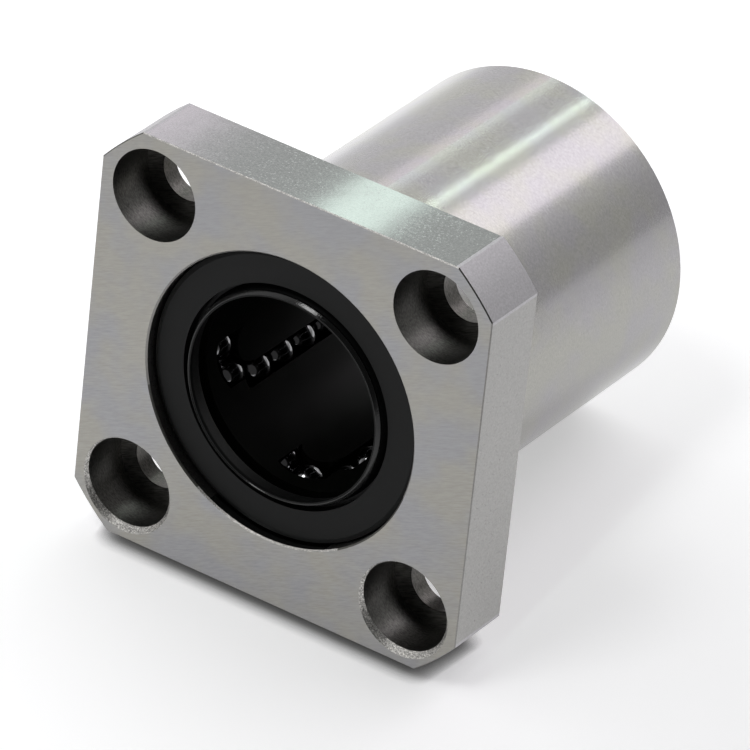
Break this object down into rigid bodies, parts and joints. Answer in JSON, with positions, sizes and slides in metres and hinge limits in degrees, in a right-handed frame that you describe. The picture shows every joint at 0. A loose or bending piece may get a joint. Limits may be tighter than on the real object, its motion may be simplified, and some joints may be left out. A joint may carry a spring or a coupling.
{
  "type": "square flange linear ball bearing",
  "caption": "Flanged linear ball bearing that slides along a round shaft, with a square mounting flange and seals.",
  "frame": {"origin": "on the shaft's axis, in the plane of the flange's seat face, where the barrel meets the flange", "axes": "+Y along the shaft from the flange towards the barrel's end, +X and +Z square to two flats of the flange"},
  "size_m": [0.042, 0.042, 0.042],
  "materials": {
    "bearing_steel": "ground, satin",
    "acetal": "moulded, smooth black",
    "spring_steel": "stamped, phosphated dark",
    "nitrile_rubber": "moulded, semi-gloss black",
    "polished_ball_steel": "lapped, mirror bright"
  },
  "bodies": {
    "housing": {"flanged_sleeve": "bearing_steel", "ball_retainer": "acetal", "front_retaining_ring": "spring_steel", "rear_retaining_ring": "spring_steel", "front_seal": "nitrile_rubber", "rear_seal": "nitrile_rubber"},
    "load_row_1": {"load_balls_1": "polished_ball_steel"},
    "return_row_1": {"return_balls_1": "polished_ball_steel"},
    "front_turn_1": {"front_turn_balls_1": "polished_ball_steel"},
    "rear_turn_1": {"rear_turn_balls_1": "polished_ball_steel"},
    "load_row_2": {"load_balls_2": "polished_ball_steel"},
    "return_row_2": {"return_balls_2": "polished_ball_steel"},
    "front_turn_2": {"front_turn_balls_2": "polished_ball_steel"},
    "rear_turn_2": {"rear_turn_balls_2": "polished_ball_steel"},
    "load_row_3": {"load_balls_3": "polished_ball_steel"},
    "return_row_3": {"return_balls_3": "polished_ball_steel"},
    "front_turn_3": {"front_turn_balls_3": "polished_ball_steel"},
    "rear_turn_3": {"rear_turn_balls_3": "polished_ball_steel"},
    "load_row_4": {"load_balls_4": "polished_ball_steel"},
    "return_row_4": {"return_balls_4": "polished_ball_steel"},
    "front_turn_4": {"front_turn_balls_4": "polished_ball_steel"},
    "rear_turn_4": {"rear_turn_balls_4": "polished_ball_steel"},
    "load_row_5": {"load_balls_5": "polished_ball_steel"},
    "return_row_5": {"return_balls_5": "polished_ball_steel"},
    "front_turn_5": {"front_turn_balls_5": "polished_ball_steel"},
    "rear_turn_5": {"rear_turn_balls_5": "polished_ball_steel"}
  },
  "joints": [
    {"name": "load_row_1_travel", "type": "slide", "parent": "housing", "child": "load_row_1", "axis": [0, 1, 0], "range_m": [-0.00255, 0.00105]},
    {"name": "return_row_1_travel", "type": "slide", "parent": "housing", "child": "return_row_1", "axis": [0, -1, 0], "range_m": [-0.00255, 0.00105]},
    {"name": "front_turn_1_swing", "type": "hinge", "parent": "housing", "child": "front_turn_1", "pos_m": [-0.00106, 0.00289, -0.01182], "axis": [0.0341, 0, 0.9994], "range_deg": [-42.5, 17.52]},
    {"name": "rear_turn_1_swing", "type": "hinge", "parent": "housing", "child": "rear_turn_1", "pos_m": [-0.00106, 0.02451, -0.01182], "axis": [0.0341, 0, 0.9994], "range_deg": [-42.5, 17.52]},
    {"name": "load_row_2_travel", "type": "slide", "parent": "housing", "child": "load_row_2", "axis": [0, 1, 0], "range_m": [-0.0016, 0.002]},
    {"name": "return_row_2_travel", "type": "slide", "parent": "housing", "child": "return_row_2", "axis": [0, -1, 0], "range_m": [-0.0016, 0.002]},
    {"name": "front_turn_2_swing", "type": "hinge", "parent": "housing", "child": "front_turn_2", "pos_m": [0.01091, 0.00289, -0.00466], "axis": [-0.94, 0, 0.3412], "range_deg": [-26.68, 33.34]},
    {"name": "rear_turn_2_swing", "type": "hinge", "parent": "housing", "child": "rear_turn_2", "pos_m": [0.01091, 0.02451, -0.00466], "axis": [-0.94, 0, 0.3412], "range_deg": [-26.68, 33.34]},
    {"name": "load_row_3_travel", "type": "slide", "parent": "housing", "child": "load_row_3", "axis": [0, 1, 0], "range_m": [-0.0026, 0.001]},
    {"name": "return_row_3_travel", "type": "slide", "parent": "housing", "child": "return_row_3", "axis": [0, -1, 0], "range_m": [-0.0026, 0.001]},
    {"name": "front_turn_3_swing", "type": "hinge", "parent": "housing", "child": "front_turn_3", "pos_m": [0.0078, 0.00289, 0.00894], "axis": [-0.615, 0, -0.7885], "range_deg": [-43.34, 16.68]},
    {"name": "rear_turn_3_swing", "type": "hinge", "parent": "housing", "child": "rear_turn_3", "pos_m": [0.0078, 0.02451, 0.00894], "axis": [-0.615, 0, -0.7885], "range_deg": [-43.34, 16.68]},
    {"name": "load_row_4_travel", "type": "slide", "parent": "housing", "child": "load_row_4", "axis": [0, 1, 0], "range_m": [-0.0012, 0.0024]},
    {"name": "return_row_4_travel", "type": "slide", "parent": "housing", "child": "return_row_4", "axis": [0, -1, 0], "range_m": [-0.0012, 0.0024]},
    {"name": "front_turn_4_swing", "type": "hinge", "parent": "housing", "child": "front_turn_4", "pos_m": [-0.00609, 0.00289, 0.01018], "axis": [0.5599, 0, -0.8286], "range_deg": [-20.02, 40]},
    {"name": "rear_turn_4_swing", "type": "hinge", "parent": "housing", "child": "rear_turn_4", "pos_m": [-0.00609, 0.02451, 0.01018], "axis": [0.5599, 0, -0.8286], "range_deg": [-20.02, 40]},
    {"name": "load_row_5_travel", "type": "slide", "parent": "housing", "child": "load_row_5", "axis": [0, 1, 0], "range_m": [-0.0011, 0.0025]},
    {"name": "return_row_5_travel", "type": "slide", "parent": "housing", "child": "return_row_5", "axis": [0, -1, 0], "range_m": [-0.0011, 0.0025]},
    {"name": "front_turn_5_swing", "type": "hinge", "parent": "housing", "child": "front_turn_5", "pos_m": [-0.01157, 0.00289, -0.00264], "axis": [0.961, 0, 0.2764], "range_deg": [-18.35, 41.67]},
    {"name": "rear_turn_5_swing", "type": "hinge", "parent": "housing", "child": "rear_turn_5", "pos_m": [-0.01157, 0.02451, -0.00264], "axis": [0.961, 0, 0.2764], "range_deg": [-18.35, 41.67]}
  ],
  "couplings": [
    {"joint": "return_row_1_travel", "follows": "load_row_1_travel", "ratio": 1},
    {"joint": "front_turn_1_swing", "follows": "load_row_1_travel", "rad_per_m": 290.73},
    {"joint": "rear_turn_1_swing", "follows": "load_row_1_travel", "rad_per_m": 290.73},
    {"joint": "return_row_2_travel", "follows": "load_row_2_travel", "ratio": 1},
    {"joint": "front_turn_2_swing", "follows": "load_row_2_travel", "rad_per_m": 290.73},
    {"joint": "rear_turn_2_swing", "follows": "load_row_2_travel", "rad_per_m": 290.73},
    {"joint": "return_row_3_travel", "follows": "load_row_3_travel", "ratio": 1},
    {"joint": "front_turn_3_swing", "follows": "load_row_3_travel", "rad_per_m": 290.73},
    {"joint": "rear_turn_3_swing", "follows": "load_row_3_travel", "rad_per_m": 290.73},
    {"joint": "return_row_4_travel", "follows": "load_row_4_travel", "ratio": 1},
    {"joint": "front_turn_4_swing", "follows": "load_row_4_travel", "rad_per_m": 290.73},
    {"joint": "rear_turn_4_swing", "follows": "load_row_4_travel", "rad_per_m": 290.73},
    {"joint": "return_row_5_travel", "follows": "load_row_5_travel", "ratio": 1},
    {"joint": "front_turn_5_swing", "follows": "load_row_5_travel", "rad_per_m": 290.73},
    {"joint": "rear_turn_5_swing", "follows": "load_row_5_travel", "rad_per_m": 290.73}
  ]
}
